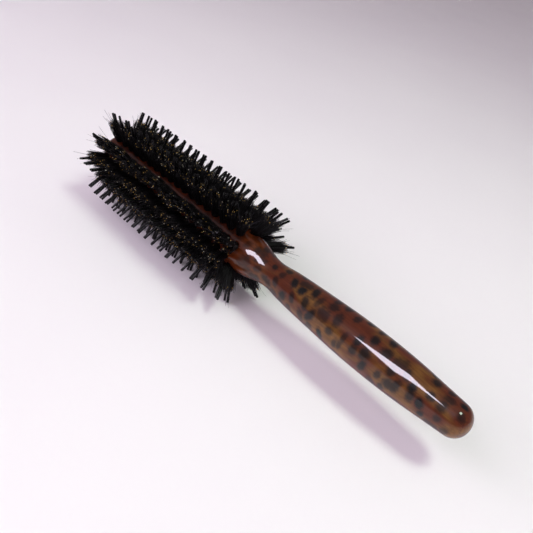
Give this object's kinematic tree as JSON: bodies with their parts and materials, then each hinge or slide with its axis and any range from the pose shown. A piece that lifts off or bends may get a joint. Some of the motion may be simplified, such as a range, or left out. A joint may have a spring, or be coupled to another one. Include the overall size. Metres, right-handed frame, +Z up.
{
  "type": "round barrel hair brush",
  "caption": "Round wooden hair brush with a turned handle and rows of boar tufts with nylon quills around the barrel.",
  "frame": {"origin": "on the surface the brush lies on, under the middle of its bounding box", "axes": "+X along the body towards the tip of the handle, +Z up from the surface, with the brush lying on its two lowest rows"},
  "size_m": [0.2206, 0.0506, 0.0484],
  "materials": {
    "lacquered_wood": "gloss lacquer over reddish brown wood with dark spots",
    "boar_bristle": "black natural bristle with pale tips",
    "black_nylon": "black extruded nylon, square cut"
  },
  "bodies": {
    "root": {"wooden_body": "lacquered_wood", "boar_bristle_row_01": "boar_bristle", "boar_bristle_row_02": "boar_bristle", "boar_bristle_row_03": "boar_bristle", "boar_bristle_row_04": "boar_bristle", "boar_bristle_row_05": "boar_bristle", "boar_bristle_row_06": "boar_bristle", "boar_bristle_row_07": "boar_bristle", "boar_bristle_row_08": "boar_bristle", "boar_bristle_row_09": "boar_bristle", "boar_bristle_row_10": "boar_bristle", "nylon_quill_row_01": "black_nylon", "nylon_quill_row_02": "black_nylon", "nylon_quill_row_03": "black_nylon", "nylon_quill_row_04": "black_nylon", "nylon_quill_row_05": "black_nylon", "nylon_quill_row_06": "black_nylon", "nylon_quill_row_07": "black_nylon", "nylon_quill_row_08": "black_nylon", "nylon_quill_row_09": "black_nylon", "nylon_quill_row_10": "black_nylon"}
  },
  "joints": []
}
